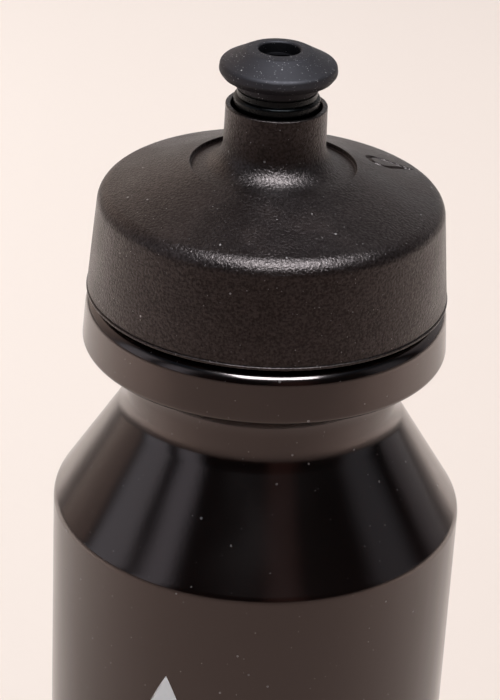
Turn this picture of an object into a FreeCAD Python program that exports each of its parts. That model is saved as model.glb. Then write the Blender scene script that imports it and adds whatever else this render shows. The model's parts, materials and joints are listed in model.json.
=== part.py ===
"""Squeeze bottle with a screw lid and a push-pull drinking spout.

The bottle is a thin-walled round blow moulding with a retaining bead under a two-start screw
neck.  The lid is a domed cap with a chimney; the spout slides in the chimney and, pushed down,
closes on the tip of a post held in the chimney's lower end.  Every piece is round about Z.

Frame: millimetres, +Z up, origin on the ground at the centre of the foot ring.
Heights of the lid and spout are counted from LID_Z, where the skirt meets its lower lip.
"""
import FreeCAD, Part
import math
import os

V = FreeCAD.Vector
AXIS = V(0, 0, 1)

# ---------------------------------------------------------------- driving dimensions
BODY_R = 37.0           # bottle's outer radius, the size that drink cages hold
WALL = 1.2              # bottle's wall, the same all over
LID_Z = 186.0           # height above the ground from which the lid's heights count
LID_WALL = 1.4
RUNNING_GAP = 0.06      # radial gap of each sliding fit

# corner radii used all over
CRISP = 0.1
EDGE = 0.2
SOFT = 0.3
ROUND = 0.5

# bottle
FOOT_IN_R = 26.0        # inner edge of the flat foot ring
FOOT_IN_BLEND = 1.5
FOOT_CORNER = 6.0       # radius between foot ring and wall
PUNT_R = 20.0
PUNT_Z = 4.0            # rise of the base inside the foot ring
PUNT_BLEND = 6.0
PINCH_LENGTH = 30.0     # ridge across the base where the mould nipped the tube shut
PINCH_WIDTH = 0.8
PINCH_DEPTH = 0.5
WAIST_R = 33.5
WAIST_Z = 69.0          # middle of the grip waist
WAIST_HALF = 8.0        # half height of its straight middle
WAIST_SLOPE = 15.0      # height of each sloping side
WAIST_BLEND = 60.0
SHOULDER_Z = LID_Z - 42.0
SHOULDER_SLOPE = 0.633  # radius lost per millimetre of height
CREASE_BLEND = 3.0      # between body and shoulder
NECK_R = 24.4
NECK_BLEND = 7.2        # hollow curve from shoulder to neck
BEAD_LOW_R = 32.25      # retaining bead under the lid, tapering upwards
BEAD_LOW_Z = LID_Z - 10.7
BEAD_LOW_BLEND = 1.15
BEAD_FOOT_BLEND = 6.5   # hollow sweep from the neck out under the bead
BEAD_TOP_R = 31.6
BEAD_TOP_Z = LID_Z - 1.5
BEAD_TOP_BLEND = 2.2
FINISH_R = 27.3         # outside of the threaded neck
FINISH_BLEND = 1.0      # hollow corner where the bead meets the finish
RIM_Z = LID_Z + 14.4
RIM_BLEND = 0.4

# screw thread, two starts
LEAD = 8.0              # rise in one turn
STARTS = 2
THREAD_TURNS = 0.92
THREAD_ROOT_W = 2.0
THREAD_CREST_W = 1.0
THREAD_SINK = 0.3       # how far a thread's foot is sunk in its wall
OUTER_CREST_R = 28.5
OUTER_THREAD_Z = LID_Z + 5.1
LID_BORE_R = 29.0
INNER_CREST_R = 27.7
INNER_THREAD_Z = OUTER_THREAD_Z - LEAD / STARTS / 2

# lid, heights above LID_Z
SKIRT_LOW_R = 31.5
SKIRT_TOP_R = 29.9
SHOULDER_BLEND = 3.4
DOME_SLOPE = 0.349
DISH_R = 14.35
DISH_H = 23.1
DISH_STEP = 0.8         # sharp step down into the dish round the chimney
DISH_DRAFT = 0.12
DISH_RISE = 0.75        # of the dish towards the chimney
CHIMNEY_FOOT_R = 8.85
CHIMNEY_TOP_R = 8.67
CHIMNEY_TOP_H = 34.0
CHIMNEY_BORE_R = 7.8
CHIMNEY_LOW_H = 9.6
CHIMNEY_BLEND = 4.5
LIP_R = 31.66           # rounded lip at the skirt's lower edge, with a fine groove above it
LIP_LOW_H = -0.5
LIP_BLEND = 0.2
LIP_GROOVE = 0.1
LIP_GROOVE_H = 0.06
SKIRT_LOW_H = 0.3
LIP_CUT_R = 30.2        # counterbore in the lid's lower edge
LIP_CUT_H = 2.0
LIP_CUT_SLOPE = 0.8
SEAT_H = 16.0           # face that the gasket lies against
GASKET_IN_R = 24.9
GASKET_OUT_R = 28.6
PLUG_OUT_R = 24.8       # ring inside the neck that keeps the gasket in place
PLUG_IN_R = 23.6
PLUG_LOW_H = 12.6
PLUG_BLEND = 1.0
TUBE_BLEND = 1.5        # under the dome, where the chimney's tube comes down
SNAP_R = 7.1            # rib that stops the spout when it is pulled up
SNAP_LOW_H = 26.9
SNAP_TOP_H = 28.3
SNAP_SLOPE = 0.7

# spout, heights above LID_Z with the spout pulled up
SPOUT_TRAVEL = 4.7
FLANGE_GAP = 0.3        # between the pushed-down flange and the chimney's rim
FLANGE_R = 10.07
FLANGE_FOOT_R = 9.35    # under the flange's bulging edge
FLANGE_BULGE = 0.95     # height of the widest place above the flange's underside
FLANGE_TALL = 2.4
FLANGE_DRAFT = 0.2
FLANGE_BLEND = 0.95
CROWN_R = 5.6           # outer edge of the nearly flat rim round the hole
CROWN_FALL = 0.25
CROWN_BLEND = 1.6
FLANGE_LOW_H = CHIMNEY_TOP_H + SPOUT_TRAVEL + FLANGE_GAP
SPOUT_TOP_H = 43.9
COLLAR_R = 7.15
COLLAR_LOW_H = 37.2
COLLAR_BLEND = 0.4
STEM_R = 6.25
STEM_BORE_R = 4.6
STEM_LOW_H = 20.6
STEM_TOP_H = 41.2
STEM_HEAD_R = 5.6       # part of the stem inside the mouthpiece
STEM_FOOT_R = 7.5
BEAD_H = 34.8           # ring on the stem, just above the chimney's rim
BEAD_HALF = 0.95
STEM_BEAD_R = 7.35
STEM_BEAD_BLEND = 0.6
BARREL_R = 6.85         # thicker part between the ring and the mouthpiece's collar
BARREL_TOP_H = 36.8
LINE_R = 6.65           # narrow groove right under the collar
SNAP_GAP = 0.3          # between the stem's foot and the rib that stops it
GROOVE_LOW_H = 23.0
GROOVE_TOP_H = 25.0
GROOVE_R = 6.15
SEAL_PLAY = 0.1
SEAL_BLEND = 0.75
MOUTH_R = 3.5           # drinking hole
MOUTH_BLEND = 0.45
MOUTH_DRAFT = 0.05
SEAL_LIP_R = 3.1        # lip at the hole's bottom that closes on the post
SEAL_LIP_THICK = 0.55

# closing post
POST_R = 1.9
POST_FLARE_H = 34.2
POST_BLEND = 2.0
POST_TIP_R = 3.05
POST_TIP_LOW_H = 35.7
POST_TIP_TOP_H = 38.2
HUB_LOW_H = 8.0
HUB_TOP_H = 14.6
HUB_IN_R = 6.4
HUB_LIP_R = 9.0
SPOKES = 3
SPOKE_W = 1.6
SPOKE_LOW_H = 10.4
SPOKE_TALL = 3.2

# drop-shaped mark sunk in the dome
MARK_R = 20.5           # distance of its middle from the axis
MARK_ANGLE = 24.0       # degrees from +X
MARK_ROUND_R = 2.6
MARK_TIP = 6.4          # from the middle of the round end to the tip
MARK_LINE = 0.8         # width of the outline
MARK_TIP_LINE = 1.7     # length of the outline's point
MARK_DEPTH = 0.4
MARK_CLEAR = 3.0        # the cutter stands this far out of the dome


# ---------------------------------------------------------------- outlines
def unit(a, b):
    length = math.hypot(b[0] - a[0], b[1] - a[1])
    return (b[0] - a[0]) / length, (b[1] - a[1]) / length


def turn(a, b, c):
    """Signed turn at b, in radians, positive to the left."""
    p, q = unit(a, b), unit(b, c)
    return math.atan2(p[0] * q[1] - p[1] * q[0], p[0] * q[0] + p[1] * q[1])


def inset(corners, depth):
    """The open outline moved to its left by depth, with corner radii that keep the wall even."""
    lines = []
    for a, b in zip(corners, corners[1:]):
        d = unit(a, b)
        lines.append(((a[0] - d[1] * depth, a[1] + d[0] * depth), d))
    first_point, first_way = lines[0]
    moved = [(first_point[0], first_point[1], 0)]
    for k in range(1, len(lines)):
        (p, d), (q, e) = lines[k - 1], lines[k]
        t = ((q[0] - p[0]) * e[1] - (q[1] - p[1]) * e[0]) / (d[0] * e[1] - d[1] * e[0])
        left = turn(corners[k - 1], corners[k], corners[k + 1]) > 0
        radius = corners[k][2] + (-depth if left else depth)
        moved.append((p[0] + d[0] * t, p[1] + d[1] * t, max(radius, 0)))
    end, d = corners[-1], lines[-1][1]
    moved.append((end[0] - d[1] * depth, end[1] + d[0] * depth, 0))
    return moved


def outline(corners):
    """Closed wire in the XZ plane through (radius, height, corner radius) triples."""
    ends = []
    count = len(corners)
    for k in range(count):
        a, b, c = corners[k - 1], corners[k], corners[(k + 1) % count]
        angle = turn(a, b, c)
        reach = b[2] * abs(math.tan(angle / 2))
        if reach < 1e-6:
            ends.append((V(b[0], 0, b[1]), None, V(b[0], 0, b[1])))
            continue
        into, away = unit(b, a), unit(b, c)
        start = V(b[0] + into[0] * reach, 0, b[1] + into[1] * reach)
        stop = V(b[0] + away[0] * reach, 0, b[1] + away[1] * reach)
        half = V(into[0] + away[0], 0, into[1] + away[1]).normalize()
        gap = b[2] / math.cos(angle / 2) - b[2]
        ends.append((start, V(b[0], 0, b[1]) + half * gap, stop))
    edges = []
    for k in range(count):
        start, middle, stop = ends[k]
        if middle is not None:
            edges.append(Part.Arc(start, middle, stop).toShape())
        following = ends[(k + 1) % count][0]
        if stop.distanceToPoint(following) > 1e-6:
            edges.append(Part.LineSegment(stop, following).toShape())
    return Part.Wire(edges)


def turned(corners):
    """Solid of revolution about Z."""
    return Part.Face(outline(corners)).revolve(V(0, 0, 0), AXIS, 360)


def lifted(corners):
    """The same outline, with its heights counted from the lid's lower edge."""
    return [(r, h + LID_Z, blend) for r, h, blend in corners]


# ---------------------------------------------------------------- threads
def thread(root_r, crest_r, start_z):
    """Two-start helical ridge standing on a wall of radius root_r."""
    outward = 1 if crest_r > root_r else -1
    foot_r = root_r - outward * THREAD_SINK
    root_w, crest_w = THREAD_ROOT_W / 2, THREAD_CREST_W / 2
    ridges = []
    for k in range(STARTS):
        path = Part.Wire(Part.makeHelix(LEAD, LEAD * THREAD_TURNS, root_r).Edges)
        section = Part.makePolygon([
            V(foot_r, 0, -root_w), V(crest_r, 0, -crest_w),
            V(crest_r, 0, crest_w), V(foot_r, 0, root_w), V(foot_r, 0, -root_w)])
        ridge = path.makePipeShell([section], True, True)
        ridge.rotate(V(0, 0, 0), AXIS, 360.0 * k / STARTS)
        ridge.translate(V(0, 0, start_z))
        ridges.append(ridge)
    return ridges


# ---------------------------------------------------------------- bottle
def bottle():
    shoulder_run = (BODY_R - NECK_R) / SHOULDER_SLOPE
    outside = [
        (0, PUNT_Z, 0),
        (PUNT_R, PUNT_Z, PUNT_BLEND),
        (FOOT_IN_R, 0, FOOT_IN_BLEND),
        (BODY_R, 0, FOOT_CORNER),
        (BODY_R, WAIST_Z - WAIST_HALF - WAIST_SLOPE, WAIST_BLEND),
        (WAIST_R, WAIST_Z - WAIST_HALF, WAIST_BLEND),
        (WAIST_R, WAIST_Z + WAIST_HALF, WAIST_BLEND),
        (BODY_R, WAIST_Z + WAIST_HALF + WAIST_SLOPE, WAIST_BLEND),
        (BODY_R, SHOULDER_Z, CREASE_BLEND),
        (NECK_R, SHOULDER_Z + shoulder_run, NECK_BLEND),
        (NECK_R, BEAD_LOW_Z, BEAD_FOOT_BLEND),
        (BEAD_LOW_R, BEAD_LOW_Z, BEAD_LOW_BLEND),
        (BEAD_TOP_R, BEAD_TOP_Z, BEAD_TOP_BLEND),
        (FINISH_R, BEAD_TOP_Z, FINISH_BLEND),
        (FINISH_R, RIM_Z, 0),
    ]
    inside = inset(outside, WALL)
    rim = outside[:-1] + [(FINISH_R, RIM_Z, RIM_BLEND)]
    bore = [(inside[-1][0], RIM_Z, RIM_BLEND)] + inside[-2::-1]
    pinch = Part.makeBox(PINCH_LENGTH, PINCH_WIDTH, PINCH_DEPTH + WALL / 2,
                         V(-PINCH_LENGTH / 2, -PINCH_WIDTH / 2, PUNT_Z - PINCH_DEPTH))
    ridges = thread(FINISH_R, OUTER_CREST_R, OUTER_THREAD_Z) + [pinch]
    return turned(rim + bore).fuse(ridges).removeSplitter()


# ---------------------------------------------------------------- lid
def dome_height(r):
    return DISH_H + (DISH_R - r) * DOME_SLOPE


def drop_prism(round_r, tip, low, high):
    """Upright prism of a drop whose tip points away from the axis."""
    reach = math.acos(round_r / tip)
    touch = [V(round_r * math.cos(s * reach), round_r * math.sin(s * reach), 0) for s in (1, -1)]
    back = V(-round_r, 0, 0)
    point = V(tip, 0, 0)
    edges = [Part.Arc(touch[0], back, touch[1]).toShape(),
             Part.LineSegment(touch[1], point).toShape(),
             Part.LineSegment(point, touch[0]).toShape()]
    prism = Part.Face(Part.Wire(edges)).extrude(V(0, 0, high - low))
    prism.translate(V(MARK_R, 0, low))
    prism.rotate(V(0, 0, 0), AXIS, MARK_ANGLE)
    return prism


def mark_cutter():
    """Outline of a drop, as deep as the mark all over the sloping dome."""
    inner_r, outer_r = MARK_R - 2 * MARK_ROUND_R, MARK_R + 2 * MARK_TIP
    skin = turned(lifted([
        (inner_r, dome_height(inner_r) - MARK_DEPTH, 0),
        (outer_r, dome_height(outer_r) - MARK_DEPTH, 0),
        (outer_r, dome_height(outer_r) + MARK_CLEAR, 0),
        (inner_r, dome_height(inner_r) + MARK_CLEAR, 0)]))
    low, high = LID_Z, LID_Z + DISH_H + MARK_CLEAR
    ring = drop_prism(MARK_ROUND_R, MARK_TIP, low, high).cut(
        drop_prism(MARK_ROUND_R - MARK_LINE, MARK_TIP - MARK_TIP_LINE, low, high))
    return ring.common(skin)


def lid():
    skirt_top_h = dome_height(SKIRT_TOP_R)
    under = LID_WALL / math.cos(math.atan(DOME_SLOPE))
    tube_r = CHIMNEY_BORE_R + LID_WALL
    shell = turned(lifted([
        (LIP_CUT_R, LIP_LOW_H, EDGE),
        (LIP_R, LIP_LOW_H, LIP_BLEND),
        (LIP_R, 0, LIP_BLEND),
        (SKIRT_LOW_R - LIP_GROOVE, LIP_GROOVE_H, 0),
        (SKIRT_LOW_R, SKIRT_LOW_H, CRISP),
        (SKIRT_TOP_R, skirt_top_h, SHOULDER_BLEND),
        (DISH_R, DISH_H, CRISP),
        (DISH_R - DISH_DRAFT, DISH_H - DISH_STEP, CRISP),
        (CHIMNEY_FOOT_R, DISH_H + DISH_RISE, CHIMNEY_BLEND),
        (CHIMNEY_TOP_R, CHIMNEY_TOP_H, EDGE),
        (CHIMNEY_BORE_R, CHIMNEY_TOP_H, EDGE),
        (CHIMNEY_BORE_R, SNAP_TOP_H + SNAP_SLOPE, 0),
        (SNAP_R, SNAP_TOP_H, EDGE),
        (SNAP_R, SNAP_LOW_H, EDGE),
        (CHIMNEY_BORE_R, SNAP_LOW_H, 0),
        (CHIMNEY_BORE_R, CHIMNEY_LOW_H, 0),
        (tube_r, CHIMNEY_LOW_H, SOFT),
        (tube_r, dome_height(tube_r) - under - DISH_STEP, TUBE_BLEND),
        (PLUG_IN_R, dome_height(PLUG_IN_R) - under, PLUG_BLEND),
        (PLUG_IN_R, PLUG_LOW_H, SOFT),
        (PLUG_OUT_R, PLUG_LOW_H, ROUND),
        (PLUG_OUT_R, SEAT_H, 0),
        (LID_BORE_R, SEAT_H, ROUND),
        (LID_BORE_R, LIP_CUT_H, 0),
        (LIP_CUT_R, LIP_CUT_H - LIP_CUT_SLOPE, 0),
    ]))
    shell = shell.fuse(thread(LID_BORE_R, INNER_CREST_R, INNER_THREAD_Z)).removeSplitter()
    return shell.cut(mark_cutter())


def lid_gasket():
    """Flat silicone washer between the bottle's rim and the lid's seat."""
    rim_h = RIM_Z - LID_Z
    return turned(lifted([
        (GASKET_IN_R, rim_h, EDGE),
        (GASKET_OUT_R, rim_h, EDGE),
        (GASKET_OUT_R, SEAT_H, EDGE),
        (GASKET_IN_R, SEAT_H, EDGE)]))


def closing_post():
    """Ring pressed in the chimney's lower end, with spokes that hold the post and its tip."""
    hub = turned(lifted([
        (HUB_IN_R, HUB_LOW_H, SOFT),
        (HUB_LIP_R, HUB_LOW_H, SOFT),
        (HUB_LIP_R, CHIMNEY_LOW_H, EDGE),
        (CHIMNEY_BORE_R, CHIMNEY_LOW_H, 0),
        (CHIMNEY_BORE_R, HUB_TOP_H, SOFT),
        (HUB_IN_R, HUB_TOP_H, EDGE)]))
    post = turned(lifted([
        (0, HUB_LOW_H, 0),
        (POST_R, HUB_LOW_H, ROUND),
        (POST_R, POST_FLARE_H, POST_BLEND),
        (POST_TIP_R, POST_TIP_LOW_H, EDGE),
        (POST_TIP_R, POST_TIP_TOP_H, ROUND),
        (0, POST_TIP_TOP_H, 0)]))
    spokes = []
    for k in range(SPOKES):
        spoke = Part.makeBox((HUB_IN_R + CHIMNEY_BORE_R) / 2, SPOKE_W, SPOKE_TALL,
                             V(0, -SPOKE_W / 2, LID_Z + SPOKE_LOW_H))
        spoke.rotate(V(0, 0, 0), AXIS, 360.0 * k / SPOKES)
        spokes.append(spoke)
    return hub.fuse([post] + spokes).removeSplitter()


# ---------------------------------------------------------------- spout
def spout_stem():
    """Stiff sleeve that slides in the chimney: foot, seal groove, neck, ring, barrel, head."""
    return turned(lifted([
        (STEM_BORE_R, STEM_LOW_H, SOFT),
        (STEM_FOOT_R, STEM_LOW_H, ROUND),
        (STEM_FOOT_R, GROOVE_LOW_H, CRISP),
        (GROOVE_R, GROOVE_LOW_H, EDGE),
        (GROOVE_R, GROOVE_TOP_H, EDGE),
        (STEM_FOOT_R, GROOVE_TOP_H, CRISP),
        (STEM_FOOT_R, SNAP_LOW_H - SNAP_GAP, SOFT),
        (STEM_R, SNAP_LOW_H - SNAP_GAP, SOFT),
        (STEM_R, BEAD_H - BEAD_HALF, CRISP),
        (STEM_BEAD_R, BEAD_H - BEAD_HALF, STEM_BEAD_BLEND),
        (STEM_BEAD_R, BEAD_H + BEAD_HALF, STEM_BEAD_BLEND),
        (BARREL_R, BEAD_H + BEAD_HALF, CRISP),
        (BARREL_R, BARREL_TOP_H, CRISP),
        (LINE_R, BARREL_TOP_H, 0),
        (LINE_R, COLLAR_LOW_H, 0),
        (STEM_HEAD_R, COLLAR_LOW_H, 0),
        (STEM_HEAD_R, STEM_TOP_H, SOFT),
        (STEM_BORE_R, STEM_TOP_H, SOFT)]))


def spout_seal():
    """Rubber ring in the stem's groove, running in the chimney's bore."""
    out_r = CHIMNEY_BORE_R - RUNNING_GAP
    low_h, top_h = GROOVE_LOW_H + SEAL_PLAY, GROOVE_TOP_H - SEAL_PLAY
    return turned(lifted([
        (GROOVE_R, low_h, SOFT),
        (out_r, low_h, SEAL_BLEND),
        (out_r, top_h, SEAL_BLEND),
        (GROOVE_R, top_h, SOFT)]))


def mouthpiece():
    """Soft mushroom-shaped mouthpiece with the drinking hole, over the stem's head."""
    seal_lip_h = STEM_TOP_H + SEAL_LIP_THICK
    return turned(lifted([
        (STEM_HEAD_R, COLLAR_LOW_H, 0),
        (COLLAR_R, COLLAR_LOW_H, CRISP),
        (COLLAR_R, FLANGE_LOW_H, COLLAR_BLEND),
        (FLANGE_FOOT_R, FLANGE_LOW_H, CRISP),
        (FLANGE_R, FLANGE_LOW_H + FLANGE_BULGE, FLANGE_BLEND),
        (FLANGE_R - FLANGE_DRAFT, FLANGE_LOW_H + FLANGE_TALL, FLANGE_BLEND),
        (CROWN_R, SPOUT_TOP_H - CROWN_FALL, CROWN_BLEND),
        (MOUTH_R + MOUTH_DRAFT, SPOUT_TOP_H, MOUTH_BLEND),
        (MOUTH_R, seal_lip_h, EDGE),
        (SEAL_LIP_R, seal_lip_h, EDGE),
        (SEAL_LIP_R, STEM_TOP_H, CRISP),
        (STEM_HEAD_R, STEM_TOP_H, 0)]))


# ---------------------------------------------------------------- export
PARTS = {
    "bottle": bottle,
    "lid": lid,
    "lid_gasket": lid_gasket,
    "closing_post": closing_post,
    "spout_stem": spout_stem,
    "spout_seal": spout_seal,
    "mouthpiece": mouthpiece,
}

os.makedirs("parts", exist_ok=True)
for name, build in PARTS.items():
    shape = build()
    print(name, "valid", shape.isValid(), "solids", len(shape.Solids), "mm3", round(shape.Volume, 1))
    shape.exportStep("parts/" + name + ".step")
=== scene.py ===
"""The looks of a black squeeze bottle with a push-pull spout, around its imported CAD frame.

Outlines are in millimetres and Blender works in metres, both in the frame of the CAD model: +Z up,
origin on the ground under the bottle.  A name ending in _Z is a height above the ground, and one
ending in _H is a height above LID_Z.  Each outline point is (radius, height, corner radius).  The
bottle, lid, stem and mouthpiece are turned here from the same outlines as in CAD, with exact
normals.  Every surface is a procedural material in the object's own coordinates, so it moves with
its part.
"""
import json
import math
import bpy
import numpy as np
from mathutils import Matrix, Vector


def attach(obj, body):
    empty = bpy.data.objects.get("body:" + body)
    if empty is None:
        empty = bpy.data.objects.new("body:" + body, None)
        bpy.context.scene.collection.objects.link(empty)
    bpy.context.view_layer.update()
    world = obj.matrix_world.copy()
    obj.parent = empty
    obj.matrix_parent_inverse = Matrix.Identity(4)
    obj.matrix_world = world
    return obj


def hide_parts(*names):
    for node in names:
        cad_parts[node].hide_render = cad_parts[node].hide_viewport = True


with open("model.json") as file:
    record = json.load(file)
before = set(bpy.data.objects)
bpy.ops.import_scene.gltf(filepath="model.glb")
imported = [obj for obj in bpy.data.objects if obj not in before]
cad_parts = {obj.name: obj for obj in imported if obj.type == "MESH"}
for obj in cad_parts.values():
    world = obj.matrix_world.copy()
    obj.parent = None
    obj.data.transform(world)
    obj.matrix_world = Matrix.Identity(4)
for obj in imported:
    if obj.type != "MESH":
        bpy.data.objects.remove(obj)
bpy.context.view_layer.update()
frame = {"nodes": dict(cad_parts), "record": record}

MM = 0.001
NODES = frame["nodes"]
LID_Z = 186.0           # height from which the heights of the lid and spout are counted


# ---------------------------------------------------------------- camera
LENS_MM = 122.14
SENSOR_MM = 36.0
CAMERA_DISTANCE = 418.86 * MM
CAMERA_ELEVATION = math.radians(27.08)
CAMERA_ROLL = math.radians(2.89)
AIM = Vector((-2.41 * MM, -3.42 * MM, (LID_Z - 11.23) * MM))


def make_camera():
    data = bpy.data.cameras.new("camera")
    data.lens = LENS_MM
    data.sensor_width = SENSOR_MM
    data.clip_start = 0.01
    data.clip_end = 50.0
    camera = bpy.data.objects.new("camera", data)
    bpy.context.scene.collection.objects.link(camera)
    forward = Vector((0, math.cos(CAMERA_ELEVATION), -math.sin(CAMERA_ELEVATION)))
    turn = forward.to_track_quat("-Z", "Y").to_matrix() @ Matrix.Rotation(CAMERA_ROLL, 3, "Z")
    camera.matrix_world = Matrix.Translation(AIM - forward * CAMERA_DISTANCE) @ turn.to_4x4()
    bpy.context.scene.camera = camera


# ---------------------------------------------------------------- outlines, as in CAD
def unit(a, b):
    length = math.hypot(b[0] - a[0], b[1] - a[1])
    return (b[0] - a[0]) / length, (b[1] - a[1]) / length


def bend(a, b, c):
    """Signed turn at b, in radians, positive to the left."""
    p, q = unit(a, b), unit(b, c)
    return math.atan2(p[0] * q[1] - p[1] * q[0], p[0] * q[0] + p[1] * q[1])


def inset(corners, depth):
    """The open outline moved to its left by depth, with corner radii that keep the wall even."""
    lines = []
    for a, b in zip(corners, corners[1:]):
        d = unit(a, b)
        lines.append(((a[0] - d[1] * depth, a[1] + d[0] * depth), d))
    first = lines[0][0]
    moved = [(first[0], first[1], 0)]
    for k in range(1, len(lines)):
        (p, d), (q, e) = lines[k - 1], lines[k]
        t = ((q[0] - p[0]) * e[1] - (q[1] - p[1]) * e[0]) / (d[0] * e[1] - d[1] * e[0])
        left = bend(corners[k - 1], corners[k], corners[k + 1]) > 0
        radius = corners[k][2] + (-depth if left else depth)
        moved.append((p[0] + d[0] * t, p[1] + d[1] * t, max(radius, 0)))
    end, d = corners[-1], lines[-1][1]
    moved.append((end[0] - d[1] * depth, end[1] + d[0] * depth, 0))
    return moved


ARC_STEP = math.radians(9)      # longest step round a corner
TINY = 1e-6


def strips(corners, closed=True, run_step=None):
    """The outline as short pieces: (start, end, normal at start, normal at end)."""
    count = len(corners)
    ends = []
    for k in range(count):
        b = corners[k]
        if not closed and k in (0, count - 1):
            ends.append(([b[:2]], None))
            continue
        a, c = corners[k - 1], corners[(k + 1) % count]
        angle = bend(a, b, c)
        reach = b[2] * abs(math.tan(angle / 2))
        if reach < TINY:
            ends.append(([b[:2]], None))
            continue
        into, away = unit(a, b), unit(b, c)
        start = (b[0] - into[0] * reach, b[1] - into[1] * reach)
        side = 1 if angle > 0 else -1
        centre = (start[0] - side * into[1] * b[2], start[1] + side * into[0] * b[2])
        steps = max(2, math.ceil(abs(angle) / ARC_STEP))
        points, normals = [], []
        for s in range(steps + 1):
            turn = angle * s / steps
            way = (into[0] * math.cos(turn) - into[1] * math.sin(turn),
                   into[0] * math.sin(turn) + into[1] * math.cos(turn))
            normal = (way[1], -way[0])
            points.append((centre[0] + side * normal[0] * b[2],
                           centre[1] + side * normal[1] * b[2]))
            normals.append(normal)
        ends.append((points, normals))
    made = []
    for k in range(count):
        points, normals = ends[k]
        if normals:
            made += [(points[s], points[s + 1], normals[s], normals[s + 1])
                     for s in range(len(points) - 1)]
        if not closed and k == count - 1:
            break
        p, q = points[-1], ends[(k + 1) % count][0][0]
        length = math.hypot(q[0] - p[0], q[1] - p[1])
        if length < TINY:
            continue
        d = unit(p, q)
        normal = (d[1], -d[0])
        parts = max(1, math.ceil(length / run_step(p, q))) if run_step else 1
        for s in range(parts):
            u, v = s / parts, (s + 1) / parts
            made.append(((p[0] + (q[0] - p[0]) * u, p[1] + (q[1] - p[1]) * u),
                         (p[0] + (q[0] - p[0]) * v, p[1] + (q[1] - p[1]) * v), normal, normal))
    return made


def lifted(corners):
    return [(r, h + LID_Z, blend) for r, h, blend in corners]


# ---------------------------------------------------------------- turned meshes
class Solid:
    """Vertices, faces and exact corner normals, gathered in millimetres."""

    def __init__(self):
        self.points, self.faces, self.normals = [], [], []
        self.count = 0

    def turn(self, pieces, angles, dent=None):
        """Turn the pieces about Z; dent(r, z, angles) moves the surface along its normal."""
        cos, sin = np.cos(angles), np.sin(angles)
        places, rings = {}, []

        def ring(point, normal):
            key = (round(point[0], 6), round(point[1], 6))
            if key not in places:
                r, z = point
                shift = dent(r, z, angles) if dent is not None else np.zeros_like(angles)
                near = np.stack([(r + shift * normal[0]) * cos, (r + shift * normal[0]) * sin,
                                 z + shift * normal[1]], 1)
                places[key] = self.count
                rings.append(near)
                self.count += len(angles)
            return places[key]

        n = len(angles)
        here = np.arange(n)
        after = (here + 1) % n
        for start, end, n0, n1 in pieces:
            a, b = ring(start, n0), ring(end, n1)
            quads = np.stack([a + here, a + after, b + after, b + here], 1)
            self.faces.append(quads)
            first = np.stack([n0[0] * cos, n0[0] * sin, np.full(n, n0[1])], 1)
            second = np.stack([n1[0] * cos, n1[0] * sin, np.full(n, n1[1])], 1)
            if dent is not None:
                first = self.tilted(first, start, n0, angles, dent)
                second = self.tilted(second, end, n1, angles, dent)
            self.normals.append(np.stack([first, first[after], second[after], second], 1))
        self.points += rings

    @staticmethod
    def tilted(normals, point, normal, angles, dent):
        """The normals of the dented surface, from small steps along and round it."""
        r, z = point
        step = 0.02
        along = (-normal[1], normal[0])
        rise = (dent(r + along[0] * step, z + along[1] * step, angles)
                - dent(r - along[0] * step, z - along[1] * step, angles)) / (2 * step)
        swing = step / max(r, 1.0)
        round_rise = (dent(r, z, angles + swing) - dent(r, z, angles - swing)) / (2 * step)
        cos, sin = np.cos(angles), np.sin(angles)
        tangent = np.stack([along[0] * cos, along[0] * sin, np.full(len(angles), along[1])], 1)
        sideways = np.stack([-sin, cos, np.zeros(len(angles))], 1)
        out = normals - tangent * rise[:, None] - sideways * round_rise[:, None]
        return out / np.linalg.norm(out, axis=1)[:, None]

    def thread(self, root_r, crest_r, start_z):
        """Two-start helical ridge, closed at its ends."""
        sink = -THREAD_SINK if crest_r > root_r else THREAD_SINK
        section = [(root_r + sink, -THREAD_ROOT_W / 2), (crest_r, -THREAD_CREST_W / 2),
                   (crest_r, THREAD_CREST_W / 2), (root_r + sink, THREAD_ROOT_W / 2)]
        if crest_r < root_r:
            section.reverse()
        steps = THREAD_STEPS
        turns = np.linspace(0, 2 * math.pi * THREAD_TURNS, steps + 1)
        for k in range(THREAD_STARTS):
            base = self.count
            angles = turns + 2 * math.pi * k / THREAD_STARTS
            for r, h in section:
                self.points.append(np.stack([r * np.cos(angles), r * np.sin(angles),
                                             start_z + h + THREAD_LEAD * turns / (2 * math.pi)], 1))
            self.count += 4 * (steps + 1)
            here = np.arange(steps)
            for j in range(4):
                a, b = base + j * (steps + 1), base + (j + 1) % 4 * (steps + 1)
                self.flat(np.stack([a + here, a + here + 1, b + here + 1, b + here], 1))
            tips = base + np.arange(4) * (steps + 1)
            self.flat(np.array([tips]))
            self.flat(np.array([tips[::-1] + steps]))

    def flat(self, quads):
        """Faces that take their own face normals."""
        self.faces.append(quads)
        self.normals.append(None)

    def mesh(self, name):
        points = np.concatenate(self.points) * MM
        normals = []
        for quads, given in zip(self.faces, self.normals):
            if given is None:
                p = points[quads]
                n = np.cross(p[:, 2] - p[:, 0], p[:, 3] - p[:, 1])
                n /= np.maximum(np.linalg.norm(n, axis=1), 1e-20)[:, None]
                given = np.repeat(n[:, None], 4, 1)
            normals.append(given)
        faces = np.concatenate(self.faces)
        normals = np.concatenate(normals)
        mesh = bpy.data.meshes.new(name)
        mesh.from_pydata(points.tolist(), [], faces.tolist())
        mesh.polygons.foreach_set("use_smooth", np.ones(len(faces), bool))
        mesh.normals_split_custom_set(normals.reshape(-1, 3).tolist())
        mesh.update()
        return mesh


def add_piece(name, mesh, body, paint, replaced=None):
    mesh.materials.append(paint)
    piece = bpy.data.objects.new(name, mesh)
    bpy.context.scene.collection.objects.link(piece)
    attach(piece, body)
    if replaced:
        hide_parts(replaced)


def even_angles(count):
    return np.linspace(0, 2 * math.pi, count, endpoint=False)


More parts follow.
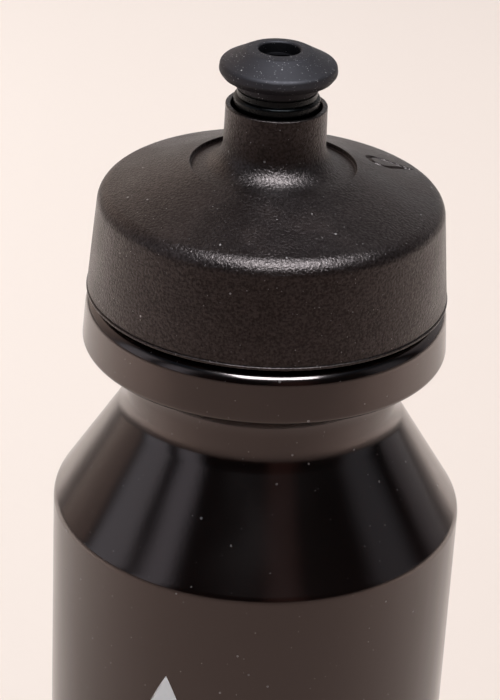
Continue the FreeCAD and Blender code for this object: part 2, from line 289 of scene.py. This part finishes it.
# ---------------------------------------------------------------- bottle
WALL = 1.2
BODY_R = 37.0
PUNT_R = 20.0
PUNT_Z = 4.0                    # rise of the base inside the foot ring
FOOT_IN_R = 26.0
WAIST_R = 33.5
WAIST_HALF = 8.0                # half the height of the waist's straight part
WAIST_SLOPE_H = 15.0
WAIST_Z = 69.0
WAIST_BLEND = 60.0
SHOULDER_Z = LID_Z - 42.0
SHOULDER_SLOPE = 0.633          # the shoulder's step inwards for each step up
NECK_R = 24.4
BEAD_LOW_R = 32.25
BEAD_LOW_Z = LID_Z - 10.7
BEAD_TOP_R = 31.6
BEAD_TOP_Z = LID_Z - 1.5
FINISH_R = 27.3                 # outside of the threaded neck
RIM_Z = LID_Z + 14.4
RIM_BLEND = 0.4

THREAD_STARTS = 2
THREAD_LEAD = 8.0
THREAD_TURNS = 0.92
THREAD_STEPS = 132
THREAD_ROOT_W = 2.0
THREAD_CREST_W = 1.0
THREAD_SINK = 0.3               # how far the thread's root goes into the wall
OUTER_CREST_R = 28.5
OUTER_THREAD_Z = LID_Z + 5.1

BOTTLE_OUTSIDE = [
    (0, PUNT_Z, 0), (PUNT_R, PUNT_Z, 6.0), (FOOT_IN_R, 0, 1.5), (BODY_R, 0, 6.0),
    (BODY_R, WAIST_Z - WAIST_HALF - WAIST_SLOPE_H, WAIST_BLEND),
    (WAIST_R, WAIST_Z - WAIST_HALF, WAIST_BLEND), (WAIST_R, WAIST_Z + WAIST_HALF, WAIST_BLEND),
    (BODY_R, WAIST_Z + WAIST_HALF + WAIST_SLOPE_H, WAIST_BLEND), (BODY_R, SHOULDER_Z, 3.0),
    (NECK_R, SHOULDER_Z + (BODY_R - NECK_R) / SHOULDER_SLOPE, 7.2), (NECK_R, BEAD_LOW_Z, 6.5),
    (BEAD_LOW_R, BEAD_LOW_Z, 1.15), (BEAD_TOP_R, BEAD_TOP_Z, 2.2), (FINISH_R, BEAD_TOP_Z, 1.0),
    (FINISH_R, RIM_Z, 0)]


def make_bottle(paint):
    inside = inset(BOTTLE_OUTSIDE, WALL)
    outside = BOTTLE_OUTSIDE[:-1] + [(FINISH_R, RIM_Z, RIM_BLEND)]
    bore = [(inside[-1][0], RIM_Z, RIM_BLEND)] + inside[-2::-1]
    solid = Solid()
    solid.turn(strips(outside + bore, closed=False), even_angles(288))
    solid.thread(FINISH_R, OUTER_CREST_R, OUTER_THREAD_Z)
    add_piece("bottle_skin", solid.mesh("bottle_skin"), "bottle", paint, "bottle")


# ---------------------------------------------------------------- printed drop
PRINT_ANGLE = math.radians(-112.5)
PRINT_TIP_Z = 126.0
PRINT_LENGTH = 24.0
PRINT_WIDTH = 10.0
PRINT_LOW_R = BODY_R - 0.03     # the ink starts just inside the wall
PRINT_HIGH_R = BODY_R + 0.04
PRINT_ROWS = 90
PRINT_COLUMNS = 12


def make_print(paint):
    """A plain upright drop printed on the body, its tip up."""
    down = np.linspace(0.004, 0.999, PRINT_ROWS + 1)
    swell = down * np.sqrt(1 - down)
    widest = 2 / (3 * math.sqrt(3))
    half = PRINT_WIDTH / 2 * swell / widest
    across = half[:, None] * np.linspace(-1, 1, PRINT_COLUMNS + 1)
    heights = PRINT_TIP_Z - PRINT_LENGTH * down[:, None] + 0 * across
    angles = PRINT_ANGLE + across / BODY_R
    solid = Solid()
    for r in (PRINT_HIGH_R, PRINT_LOW_R):
        grid = np.stack([r * np.cos(angles), r * np.sin(angles), heights], 2)
        solid.points.append(grid.reshape(-1, 3))
    place = np.arange(across.size).reshape(across.shape)
    front = np.stack([place[:-1, :-1], place[1:, :-1], place[1:, 1:], place[:-1, 1:]], 2)
    front = front.reshape(-1, 4)
    solid.flat(front)
    solid.flat(front[:, ::-1] + place.size)
    rim = np.concatenate([place[:, 0], place[-1, 1:], place[-2::-1, -1], place[0, -2:0:-1]])
    low = rim + place.size
    solid.flat(np.stack([rim, low, np.roll(low, -1), np.roll(rim, -1)], 1)[:, ::-1])
    add_piece("body_print", solid.mesh("body_print"), "bottle", paint)


# ---------------------------------------------------------------- lid
LID_WALL = 1.4
SKIRT_LOW_R = 31.5
SKIRT_TOP_R = 29.9
LIP_R = 31.66                   # rounded lip at the skirt's lower edge
LIP_LOW_H = -0.5
LIP_CUT_R = 30.2                # counterbore in the lid's lower edge
DOME_SLOPE = 0.349
DOME_OVER_H = 17.0              # the dome's outer face is all above this height
DISH_R = 14.35
DISH_H = 23.1
CHIMNEY_TOP_H = 34.0
CHIMNEY_BORE_R = 7.8
CHIMNEY_LOW_H = 9.6
SNAP_R = 7.1                    # rib that stops the spout when it is pulled up
LID_BORE_R = 29.0
INNER_CREST_R = 27.7
PLUG_OUT_R = 24.8
PLUG_IN_R = 23.6
PLUG_LOW_H = 12.6
SEAT_H = 16.0
MARK_R = 20.5
MARK_ANGLE = math.radians(24.0)
MARK_REACH = math.radians(12.0)     # half the stretch with fine steps round the mark
MARK_STEP = math.radians(0.5)
MARK_ROUND_R = 2.6
MARK_TIP = 6.4                  # from the middle of the round end to the tip
MARK_LINE = 0.8                 # width of the outline
MARK_DEPTH = 0.4
MARK_SOFT = 0.22                # width of the sloping sides of the outline


def dome_height(r):
    return DISH_H + (DISH_R - r) * DOME_SLOPE


def drop_distance(x, y, round_r, tip):
    """Distance outside a drop with its round end at the origin and its tip on +x."""
    y = np.abs(y)
    reach = math.acos(round_r / tip)
    circle = np.hypot(x, y) - round_r
    side = (x - tip) * math.cos(reach) + y * math.sin(reach)
    beside = x * math.sin(reach) - y * math.cos(reach) > 0
    return np.where(beside, side, circle)


def mark_dent(r, z, angles):
    """Depth of the drop-shaped outline pressed in the dome."""
    if not 15.0 < r < 29.0 or z < LID_Z + DOME_OVER_H:
        return np.zeros_like(angles)
    turn = angles - MARK_ANGLE
    x, y = r * np.cos(turn) - MARK_R, r * np.sin(turn)
    outer = drop_distance(x, y, MARK_ROUND_R, MARK_TIP)
    inner = drop_distance(x, y, MARK_ROUND_R - MARK_LINE, MARK_TIP - 2.1 * MARK_LINE)
    depth = np.clip(np.minimum(-outer, inner) / MARK_SOFT + 0.5, 0, 1)
    depth = depth * depth * (3 - 2 * depth)
    same_side = np.cos(turn) > 0.8
    return np.where(same_side, -MARK_DEPTH * depth, 0.0)


def make_lid(paint):
    under = LID_WALL / math.cos(math.atan(DOME_SLOPE))
    tube_r = CHIMNEY_BORE_R + LID_WALL
    corners = lifted([
        (LIP_CUT_R, LIP_LOW_H, 0.2), (LIP_R, LIP_LOW_H, 0.2), (LIP_R, 0, 0.2), (31.4, 0.06, 0),
        (SKIRT_LOW_R, 0.3, 0.1), (SKIRT_TOP_R, dome_height(SKIRT_TOP_R), 3.4),
        (DISH_R, DISH_H, 0.1), (DISH_R - 0.12, DISH_H - 0.8, 0.1), (8.85, DISH_H + 0.75, 4.5),
        (8.67, CHIMNEY_TOP_H, 0.2), (CHIMNEY_BORE_R, CHIMNEY_TOP_H, 0.2), (CHIMNEY_BORE_R, 29.0, 0),
        (SNAP_R, 28.3, 0.2), (SNAP_R, 26.9, 0.2), (CHIMNEY_BORE_R, 26.9, 0),
        (CHIMNEY_BORE_R, CHIMNEY_LOW_H, 0), (tube_r, CHIMNEY_LOW_H, 0.3),
        (tube_r, dome_height(tube_r) - under - 0.8, 1.5),
        (PLUG_IN_R, dome_height(PLUG_IN_R) - under, 1.0), (PLUG_IN_R, PLUG_LOW_H, 0.3),
        (PLUG_OUT_R, PLUG_LOW_H, 0.5), (PLUG_OUT_R, SEAT_H, 0), (LID_BORE_R, SEAT_H, 0.5),
        (LID_BORE_R, 2.0, 0), (LIP_CUT_R, 1.2, 0)])

    def run_step(p, q):
        """Short steps down the dome, where the mark is, and one step elsewhere."""
        over = min(p[1], q[1]) > LID_Z + DOME_OVER_H
        on_dome = over and min(p[0], q[0]) > DISH_R - 0.2 and p[0] > q[0]
        return 0.2 if on_dome else 100.0

    coarse = even_angles(240)
    fine = MARK_ANGLE + np.arange(-MARK_REACH, MARK_REACH + MARK_STEP / 50, MARK_STEP)
    apart = np.abs((coarse - MARK_ANGLE + math.pi) % (2 * math.pi) - math.pi)
    clear = apart > MARK_REACH + 0.8 * MARK_STEP
    angles = np.sort(np.concatenate([coarse[clear], fine]))
    solid = Solid()
    solid.turn(strips(corners, run_step=run_step), angles, mark_dent)
    solid.thread(LID_BORE_R, INNER_CREST_R, OUTER_THREAD_Z - THREAD_LEAD / THREAD_STARTS / 2)
    add_piece("lid_shell", solid.mesh("lid_shell"), "lid", paint, "lid")


# ---------------------------------------------------------------- spout
STEM_R = 6.25
STEM_BORE_R = 4.6
STEM_LOW_H = 20.6
STEM_TOP_H = 41.2
STEM_FOOT_R = 7.5
STEM_FOOT_TOP_H = 26.6
SEAL_GROOVE_R = 6.15
SEAL_GROOVE_LOW_H = 23.0
SEAL_GROOVE_TOP_H = 25.0
STEM_RING_R = 7.35
STEM_RING_LOW_H = 33.85
STEM_RING_TOP_H = 35.75
BARREL_R = 6.85                 # thicker part between the ring and the mouthpiece
BARREL_TOP_H = 36.8
LINE_R = 6.65                   # narrow groove right under the collar
STEM_HEAD_R = 5.6               # part of the stem inside the mouthpiece
COLLAR_R = 7.15
COLLAR_LOW_H = 37.2
FLANGE_R = 10.07
FLANGE_FOOT_R = 9.35
FLANGE_LOW_H = 39.0
FLANGE_BLEND = 0.95
CROWN_R = 5.6                   # outer edge of the nearly flat rim round the hole
SPOUT_TOP_H = 43.9
MOUTH_R = 3.5                   # drinking hole
MOUTH_LOW_H = STEM_TOP_H + 0.55
SEAL_LIP_R = 3.1                # lip at the hole's bottom that closes on the post


def make_stem(paint):
    solid = Solid()
    solid.turn(strips(lifted([
        (STEM_BORE_R, STEM_LOW_H, 0.3), (STEM_FOOT_R, STEM_LOW_H, 0.5),
        (STEM_FOOT_R, SEAL_GROOVE_LOW_H, 0.1), (SEAL_GROOVE_R, SEAL_GROOVE_LOW_H, 0.2),
        (SEAL_GROOVE_R, SEAL_GROOVE_TOP_H, 0.2), (STEM_FOOT_R, SEAL_GROOVE_TOP_H, 0.1),
        (STEM_FOOT_R, STEM_FOOT_TOP_H, 0.3), (STEM_R, STEM_FOOT_TOP_H, 0.3),
        (STEM_R, STEM_RING_LOW_H, 0.1), (STEM_RING_R, STEM_RING_LOW_H, 0.6),
        (STEM_RING_R, STEM_RING_TOP_H, 0.6), (BARREL_R, STEM_RING_TOP_H, 0.1),
        (BARREL_R, BARREL_TOP_H, 0.1), (LINE_R, BARREL_TOP_H, 0), (LINE_R, COLLAR_LOW_H, 0),
        (STEM_HEAD_R, COLLAR_LOW_H, 0), (STEM_HEAD_R, STEM_TOP_H, 0.3),
        (STEM_BORE_R, STEM_TOP_H, 0.3)])), even_angles(160))
    add_piece("stem_skin", solid.mesh("stem_skin"), "spout", paint, "spout_stem")


def make_mouthpiece(paint):
    solid = Solid()
    solid.turn(strips(lifted([
        (STEM_HEAD_R, COLLAR_LOW_H, 0), (COLLAR_R, COLLAR_LOW_H, 0.1),
        (COLLAR_R, FLANGE_LOW_H, 0.4), (FLANGE_FOOT_R, FLANGE_LOW_H, 0.1),
        (FLANGE_R, FLANGE_LOW_H + FLANGE_BLEND, FLANGE_BLEND),
        (FLANGE_R - 0.2, FLANGE_LOW_H + 2.4, FLANGE_BLEND), (CROWN_R, SPOUT_TOP_H - 0.25, 1.6),
        (MOUTH_R + 0.05, SPOUT_TOP_H, 0.45), (MOUTH_R, MOUTH_LOW_H, 0.2),
        (SEAL_LIP_R, MOUTH_LOW_H, 0.2), (SEAL_LIP_R, STEM_TOP_H, 0.1),
        (STEM_HEAD_R, STEM_TOP_H, 0)])), even_angles(160))
    add_piece("mouthpiece_skin", solid.mesh("mouthpiece_skin"), "spout",
              paint, "mouthpiece")


# ---------------------------------------------------------------- node helpers
class Nodes:
    """A node tree, with short calls for the nodes used here."""

    def __init__(self, tree):
        self.tree = tree

    def add(self, kind, settings=None, **inputs):
        made = self.tree.nodes.new(kind)
        for key, value in (settings or {}).items():
            setattr(made, key, value)
        for key, value in inputs.items():
            self.set(made, key.replace("_", " "), value)
        return made

    def set(self, made, socket, value):
        target = made.inputs[int(socket)] if socket.isdigit() else made.inputs[socket]
        if isinstance(value, bpy.types.NodeSocket):
            self.tree.links.new(value, target)
        else:
            target.default_value = value

    def math(self, operation, a, b=0.0):
        made = self.add("ShaderNodeMath", {"operation": operation})
        self.set(made, "0", a)
        self.set(made, "1", b)
        return made.outputs[0]

    def ramp(self, value, low, high, out_low=0.0, out_high=1.0):
        made = self.add("ShaderNodeMapRange", {"interpolation_type": "SMOOTHSTEP"}, Value=value)
        for socket, number in (("From Min", low), ("From Max", high),
                               ("To Min", out_low), ("To Max", out_high)):
            self.set(made, socket, number)
        return made.outputs[0]

    def blend(self, factor, a, b):
        made = self.add("ShaderNodeMix", {"data_type": "RGBA"})
        self.set(made, "0", factor)
        self.set(made, "6", a)
        self.set(made, "7", b)
        return made.outputs[2]


class Shader(Nodes):
    """A material."""

    def __init__(self, name):
        self.material = bpy.data.materials.new(name)
        self.material.use_nodes = True
        super().__init__(self.material.node_tree)
        self.surface = self.tree.nodes["Principled BSDF"]
        self.place = self.add("ShaderNodeTexCoord").outputs["Object"]

    def stretched(self, factors):
        return self.add("ShaderNodeMapping", Vector=self.place, Scale=factors).outputs[0]

    def axis_distance(self):
        """Distance from the bottle's axis, in metres."""
        flat = self.stretched((1.0, 1.0, 0.0))
        made = self.add("ShaderNodeVectorMath", {"operation": "LENGTH"})
        self.set(made, "0", flat)
        return made.outputs["Value"]

    def noise(self, size, detail=2.0, roughness=0.5, place=None):
        """Noise whose lumps are about size across, from 0 to 1."""
        made = self.add("ShaderNodeTexNoise", Vector=place or self.place, Scale=1 / size,
                        Detail=detail, Roughness=roughness)
        return made.outputs["Fac"]

    def specks(self, cell, radius, share):
        """Small dots up to that radius, in a share of the cells, which are cell apart."""
        cells = self.add("ShaderNodeTexVoronoi", Vector=self.place, Scale=1 / cell)
        picked = self.add("ShaderNodeSeparateColor", Color=cells.outputs["Color"])
        chosen = self.math("LESS_THAN", picked.outputs[0], share)
        size = self.math("MULTIPLY", picked.outputs[1], radius / cell)
        inside = self.math("LESS_THAN", cells.outputs["Distance"], size)
        return self.math("MULTIPLY", chosen, inside)

    def dust(self, large, small):
        """Two sizes of specks, each given as cell, radius and share."""
        return self.math("MAXIMUM", self.specks(*large), self.specks(*small))

    def bump(self, height, depth, onto=None):
        made = self.add("ShaderNodeBump", Height=height, Distance=depth)
        if onto is not None:
            self.set(made, "Normal", onto)
        return made.outputs[0]

    def finish(self, **inputs):
        for key, value in inputs.items():
            self.set(self.surface, key.replace("_", " "), value)
        return self.material


def grey(value):
    return (value, value, value, 1.0)


BROWN_BLACK = (0.0042, 0.0016, 0.0012, 1.0)
WARM_TINT = (1.0, 0.78, 0.72, 1.0)
DUST = (0.5, 0.48, 0.48, 1.0)


# ---------------------------------------------------------------- materials
def lid_plastic():
    s = Shader("lid_plastic")
    leather = s.noise(0.46 * MM, 3.0, 0.6)
    grain = s.noise(0.2 * MM, 2.0)
    broad = s.noise(8 * MM, 3.0)
    dust = s.dust((2.1 * MM, 0.22 * MM, 0.45), (0.7 * MM, 0.1 * MM, 0.3))
    normal = s.bump(grain, 0.02 * MM, s.bump(leather, 0.14 * MM))
    colour = s.blend(s.ramp(broad, 0.45, 0.75), BROWN_BLACK, (0.009, 0.0042, 0.0032, 1))
    colour = s.blend(s.math("MULTIPLY", dust, 0.45), colour, DUST)
    rough = s.ramp(broad, 0.3, 0.7, 0.29, 0.37)
    gloss = s.ramp(leather, 0.32, 0.68, 0.3, 0.68)
    return s.finish(Base_Color=colour, Roughness=rough, Normal=normal, IOR=1.44,
                    Specular_IOR_Level=gloss, Specular_Tint=WARM_TINT)


def bottle_plastic():
    s = Shader("bottle_plastic")
    ripple = s.noise(16 * MM, 2.0, place=s.stretched((1.0, 1.0, 0.35)))
    fine = s.noise(0.7 * MM, 3.0, 0.6)
    dust = s.dust((2.6 * MM, 0.24 * MM, 0.55), (0.9 * MM, 0.1 * MM, 0.25))
    normal = s.bump(ripple, 0.14 * MM, s.bump(fine, 0.01 * MM))
    colour = s.blend(s.math("MULTIPLY", dust, 0.5), BROWN_BLACK, DUST)
    rough = s.ramp(ripple, 0.3, 0.7, 0.13, 0.18)
    return s.finish(Base_Color=colour, Roughness=rough, Normal=normal, IOR=1.62,
                    Specular_Tint=WARM_TINT)


def stem_plastic():
    s = Shader("stem_plastic")
    fine = s.noise(1.2 * MM, 2.0)
    dust = s.specks(0.9 * MM, 0.08 * MM, 0.2)
    colour = s.blend(s.math("MULTIPLY", dust, 0.4), (0.0025, 0.0021, 0.0021, 1), DUST)
    return s.finish(Base_Color=colour, Roughness=s.ramp(fine, 0.3, 0.7, 0.26, 0.34),
                    Normal=s.bump(fine, 0.004 * MM), IOR=1.46, Specular_IOR_Level=0.14)


def mouthpiece_rubber():
    s = Shader("mouthpiece_rubber")
    fine = s.noise(0.35 * MM, 3.0, 0.6)
    patchy = s.ramp(s.noise(3.5 * MM, 2.0), 0.42, 0.62, 0.35, 1.0)
    dust = s.dust((0.9 * MM, 0.13 * MM, patchy), (0.34 * MM, 0.07 * MM, patchy))
    film = s.math("MULTIPLY", s.ramp(fine, 0.45, 0.75), 0.012)
    colour = s.blend(film, (0.0036, 0.0032, 0.0046, 1), DUST)
    colour = s.blend(s.math("MULTIPLY", dust, 0.65), colour, DUST)
    gloss = s.ramp(s.axis_distance(), (MOUTH_R - 0.1) * MM, (MOUTH_R + 0.3) * MM, 0.04, 0.5)
    return s.finish(Base_Color=colour, Roughness=s.ramp(fine, 0.3, 0.7, 0.52, 0.66),
                    Normal=s.bump(fine, 0.03 * MM), IOR=1.41, Specular_IOR_Level=gloss,
                    Specular_Tint=(1.0, 0.87, 0.91, 1))


def print_ink():
    s = Shader("print_ink")
    fine = s.noise(0.5 * MM, 3.0, 0.6)
    wear = s.ramp(s.noise(2.2 * MM, 4.0, 0.7), 0.66, 0.76)
    colour = s.blend(s.math("MULTIPLY", fine, 0.3), (0.93, 0.97, 1.0, 1), (0.8, 0.83, 0.86, 1))
    colour = s.blend(s.math("MULTIPLY", wear, 0.5), colour, (0.2, 0.19, 0.19, 1))
    return s.finish(Base_Color=colour, Roughness=s.ramp(fine, 0.3, 0.7, 0.3, 0.42),
                    Normal=s.bump(fine, 0.006 * MM), IOR=1.5)


def seal_rubber():
    s = Shader("seal_rubber")
    fine = s.noise(0.5 * MM, 2.0)
    return s.finish(Base_Color=s.blend(fine, grey(0.34), grey(0.42)), Roughness=0.45,
                    Normal=s.bump(fine, 0.01 * MM))


def floor_paint():
    s = Shader("floor_paint")
    fine = s.noise(3 * MM, 3.0)
    across = s.add("ShaderNodeSeparateXYZ", Vector=s.place).outputs[0]
    # The floor's pale colour darkens from left to right: painted shade, standing in for light that
    # falls from the left.
    pale_with_painted_shade = s.blend(s.ramp(across, -0.22, 0.22), (0.80, 0.702, 0.638, 1), (0.715, 0.622, 0.566, 1))
    colour = s.blend(s.math("MULTIPLY", fine, 0.04), pale_with_painted_shade, (0.6, 0.53, 0.48, 1))
    return s.finish(Base_Color=colour, Roughness=1.0, Specular_IOR_Level=0.0)


def dress_cad_nodes(paints):
    for part in frame["record"]["subparts"]:
        node = NODES[part["node"]]
        for place in node.material_slots:
            place.material = paints[part["material_slot"]]


# ---------------------------------------------------------------- studio
FLOOR_REACH = 4.0
SOFTBOX_COLOUR = (0.92, 1.06, 1.17)
WHITE = (1, 1, 1)


def make_floor():
    mesh = bpy.data.meshes.new("floor")
    reach = FLOOR_REACH
    corners = [(-reach, -reach, 0), (reach, -reach, 0), (reach, reach, 0), (-reach, reach, 0)]
    mesh.from_pydata(corners, [], [(0, 1, 2, 3)])
    mesh.materials.append(floor_paint())
    floor = bpy.data.objects.new("floor", mesh)
    bpy.context.scene.collection.objects.link(floor)


def area_light(name, place, target, width, height, power, colour):
    data = bpy.data.lights.new(name, "AREA")
    data.shape = "RECTANGLE"
    data.size = width
    data.size_y = height
    data.energy = power
    data.color = colour
    light = bpy.data.objects.new(name, data)
    bpy.context.scene.collection.objects.link(light)
    light.location = place
    light.rotation_mode = "QUATERNION"
    light.rotation_quaternion = (Vector(target) - Vector(place)).to_track_quat("-Z", "Y")
    return light


def aimed(azimuth, elevation, distance):
    """Place at that azimuth (0 at the camera's side, positive to the right) and elevation."""
    a, e = math.radians(azimuth), math.radians(elevation)
    return (distance * math.cos(e) * math.sin(a), -distance * math.cos(e) * math.cos(a),
            LID_Z * MM + distance * math.sin(e))


def make_lights():
    """A softbox that makes the highlights, and soft lights that make the floor bright."""
    middle = (0, 0, LID_Z * MM)
    softbox = area_light("softbox", aimed(12, 64, 2.6), middle, 1.7, 1.2, 225.0, SOFTBOX_COLOUR)
    softbox.visible_diffuse = False
    behind = area_light("behind", (0.02, 0.42, 1.6), (0.02, 0.42, 0), 0.9, 0.8, 26.3, WHITE)
    behind.visible_glossy = False
    for name, x in (("beside_left", -0.5), ("beside_right", 0.5)):
        beside = area_light(name, (x, 0.22, 0.75), (x, 0.22, 0), 0.3, 0.9, 1.15, WHITE)
        beside.data.spread = math.radians(45)
        beside.visible_glossy = False
    above = area_light("above", aimed(10, 70, 3.0), middle, 1.2, 1.2, 13.0, WHITE)
    above.visible_glossy = False


def make_world():
    """What the gloss sees: a cool ceiling, bright behind, pale cards each side, dark in front."""
    world = bpy.data.worlds.new("studio")
    world.use_nodes = True
    n = Nodes(world.node_tree)
    way = n.add("ShaderNodeSeparateXYZ", Vector=n.add("ShaderNodeTexCoord").outputs["Generated"])
    x, y, z = way.outputs
    azimuth = n.math("ARCTAN2", x, n.math("MULTIPLY", y, -1.0))
    away = n.math("ABSOLUTE", azimuth)

    def band(value, low, high, soft):
        return n.math("MULTIPLY", n.ramp(value, low - soft, low + soft),
                      n.ramp(value, high + soft, high - soft))

    low = n.ramp(z, 0.75, 0.5)
    rear = n.math("MULTIPLY", n.ramp(away, 1.8, 2.5), n.ramp(z, 0.9, 0.45))
    ceiling = n.ramp(z, 0.65, 0.78)
    bands = (("left edge", -3.3, -1.78, 0.06, (0.50, 0.42, 0.39, 1)),
             ("left card", -1.70, -1.27, 0.09, (0.84, 0.94, 1.08, 1)),
             ("second left card", -1.11, -0.80, 0.11, (0.80, 0.90, 1.06, 1)),
             ("right dim", 0.60, 1.30, 0.08, (0.021, 0.024, 0.026, 1)),
             ("right card", 1.22, 1.66, 0.13, (0.27, 0.31, 0.36, 1)),
             ("right edge", 1.90, 3.3, 0.08, (0.25, 0.25, 0.28, 1)),
             ("front", 0.14, 0.5, 0.10, (0.15, 0.08, 0.072, 1)))
    colour = n.blend(ceiling, (0.009, 0.0105, 0.012, 1), (0.048, 0.088, 0.132, 1))
    for name, start, end, soft, shade in bands:
        colour = n.blend(n.math("MULTIPLY", band(azimuth, start, end, soft), low), colour, shade)
    behind = n.blend(n.ramp(x, -0.33, -0.06), (1.10, 0.93, 0.82, 1), (0.62, 0.60, 0.60, 1))
    colour = n.blend(rear, colour, behind)
    n.tree.links.new(colour, n.tree.nodes["Background"].inputs["Color"])
    bpy.context.scene.world = world


make_camera()
PAINTS = {"bottle_plastic": bottle_plastic(), "lid_plastic": lid_plastic(),
          "stem_plastic": stem_plastic(), "mouthpiece_rubber": mouthpiece_rubber(),
          "seal_rubber": seal_rubber()}
dress_cad_nodes(PAINTS)
make_bottle(PAINTS["bottle_plastic"])
make_print(print_ink())
make_lid(PAINTS["lid_plastic"])
make_stem(PAINTS["stem_plastic"])
make_mouthpiece(PAINTS["mouthpiece_rubber"])
make_floor()
make_lights()
make_world()
bpy.context.scene.view_settings.view_transform = "Standard"
